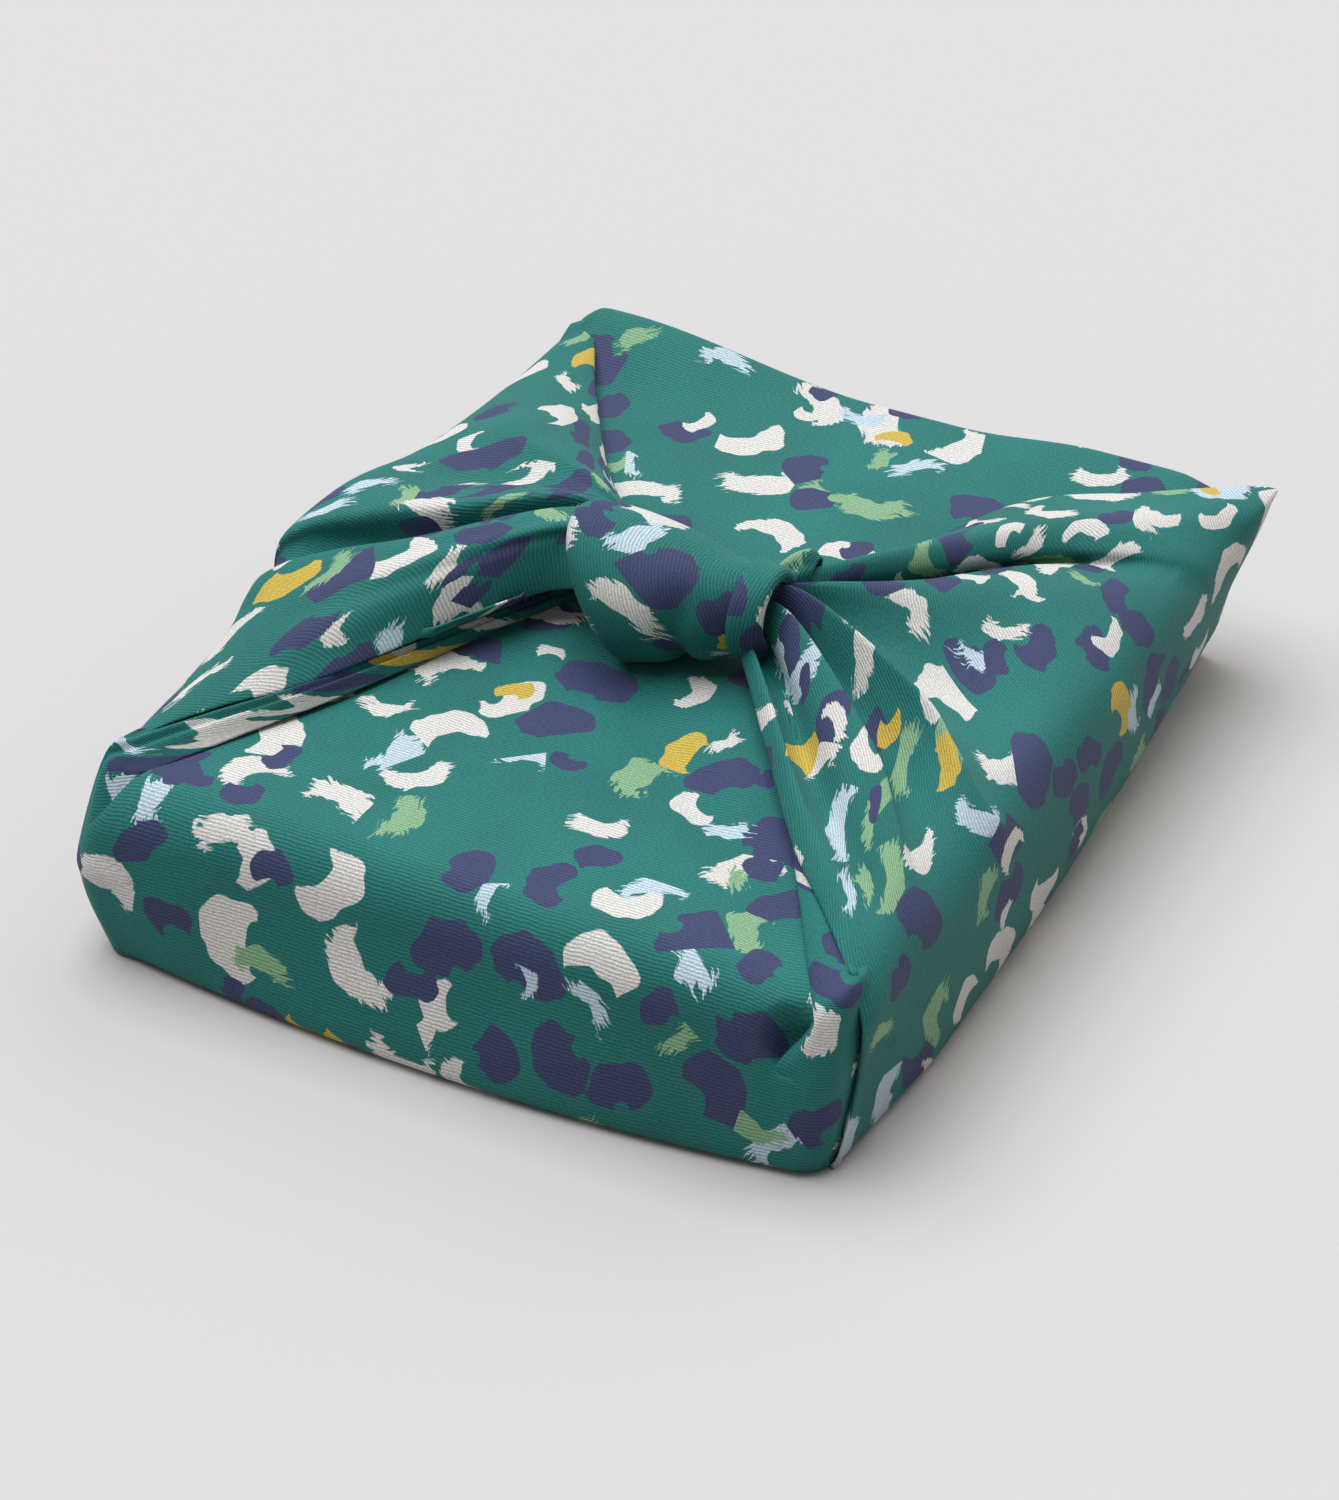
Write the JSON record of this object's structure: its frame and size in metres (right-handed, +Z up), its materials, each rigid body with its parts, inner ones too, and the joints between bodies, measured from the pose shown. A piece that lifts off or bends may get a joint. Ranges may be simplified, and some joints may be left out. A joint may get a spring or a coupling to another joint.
{
  "type": "furoshiki wrap on a box",
  "caption": "Square cotton wrapping cloth folded round a flat rectangular box and tied in a single knot on top.",
  "frame": {"origin": "on the floor under the middle of the wrapped box", "axes": "+X towards the right-hand gather, +Y along the box from the near flap to the far flap, +Z up"},
  "size_m": [0.2092, 0.2617, 0.083],
  "materials": {
    "cloth": "printed cotton",
    "box": "plain card"
  },
  "bodies": {
    "root": {"cloth": "cloth", "box": "box"}
  },
  "joints": []
}
